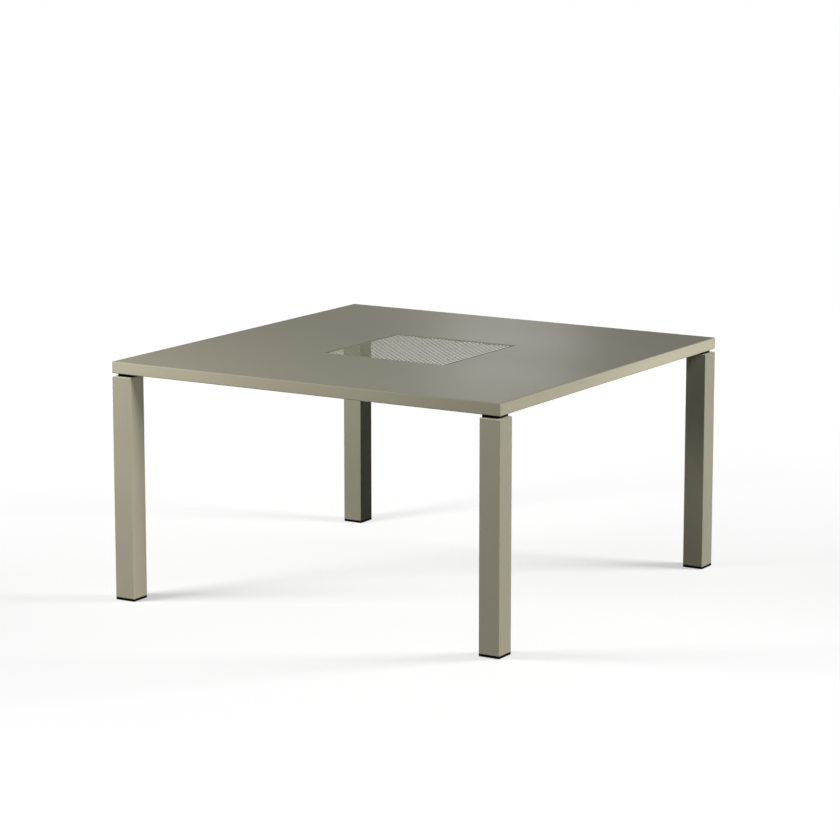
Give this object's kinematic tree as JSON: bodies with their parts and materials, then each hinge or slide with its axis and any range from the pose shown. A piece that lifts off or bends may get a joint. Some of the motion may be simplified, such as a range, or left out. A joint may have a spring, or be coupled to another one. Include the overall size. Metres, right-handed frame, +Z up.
{
  "type": "garden table",
  "caption": "Square powder-coated metal garden table with a thin folded top, corner legs on recessed black spacers, black levelling feet and a see-through rod grille in the middle.",
  "frame": {"origin": "on the floor under the centre of the square top", "axes": "+Z up; +X to the right side and +Y to the back, with the grille rods along Y"},
  "size_m": [1.374, 1.374, 0.75],
  "materials": {
    "powder_coat": "satin",
    "black_plastic": "matte",
    "cast_aluminium": "matte",
    "zinc_steel": "satin",
    "brass": "satin",
    "black_rubber": "matte"
  },
  "bodies": {
    "table": {"top_panel": "powder_coat", "rail_back": "powder_coat", "rail_left": "powder_coat", "rail_front": "powder_coat", "rail_right": "powder_coat", "rib_back": "powder_coat", "rib_left": "powder_coat", "rib_front": "powder_coat", "rib_right": "powder_coat", "leg_tube_back_right": "powder_coat", "leg_tube_back_left": "powder_coat", "leg_tube_front_left": "powder_coat", "leg_tube_front_right": "powder_coat", "leg_plate_back_right": "powder_coat", "leg_plate_back_left": "powder_coat", "leg_plate_front_left": "powder_coat", "leg_plate_front_right": "powder_coat", "spacer_back_right": "black_plastic", "spacer_back_left": "black_plastic", "spacer_front_left": "black_plastic", "spacer_front_right": "black_plastic", "corner_bracket_back_right": "cast_aluminium", "corner_bracket_back_left": "cast_aluminium", "corner_bracket_front_left": "cast_aluminium", "corner_bracket_front_right": "cast_aluminium", "foot_cap_back_right": "black_plastic", "foot_cap_back_left": "black_plastic", "foot_cap_front_left": "black_plastic", "foot_cap_front_right": "black_plastic", "foot_insert_back_right": "brass", "foot_insert_back_left": "brass", "foot_insert_front_left": "brass", "foot_insert_front_right": "brass", "leg_bolts": "zinc_steel", "leg_washers": "zinc_steel", "lip_rivets": "zinc_steel", "grille_brackets": "powder_coat", "bracket_studs": "zinc_steel", "bracket_nuts": "zinc_steel", "grille_rests": "black_rubber"},
    "glide_back_right": {"glide_stud_back_right": "zinc_steel", "glide_pad_back_right": "black_plastic"},
    "glide_back_left": {"glide_stud_back_left": "zinc_steel", "glide_pad_back_left": "black_plastic"},
    "glide_front_left": {"glide_stud_front_left": "zinc_steel", "glide_pad_front_left": "black_plastic"},
    "glide_front_right": {"glide_stud_front_right": "zinc_steel", "glide_pad_front_right": "black_plastic"},
    "grille": {"grille_rods": "powder_coat", "grille_bar_front": "powder_coat", "grille_bar_back": "powder_coat"}
  },
  "joints": [
    {"name": "glide_back_right_travel", "type": "slide", "parent": "table", "child": "glide_back_right", "axis": [0, 0, -1], "range_m": [0, 0.01]},
    {"name": "glide_back_left_travel", "type": "slide", "parent": "table", "child": "glide_back_left", "axis": [0, 0, -1], "range_m": [0, 0.01]},
    {"name": "glide_front_left_travel", "type": "slide", "parent": "table", "child": "glide_front_left", "axis": [0, 0, -1], "range_m": [0, 0.01]},
    {"name": "glide_front_right_travel", "type": "slide", "parent": "table", "child": "glide_front_right", "axis": [0, 0, -1], "range_m": [0, 0.01]},
    {"name": "grille_lift", "type": "slide", "parent": "table", "child": "grille", "axis": [0, 0, 1], "range_m": [0, 0.06]}
  ]
}
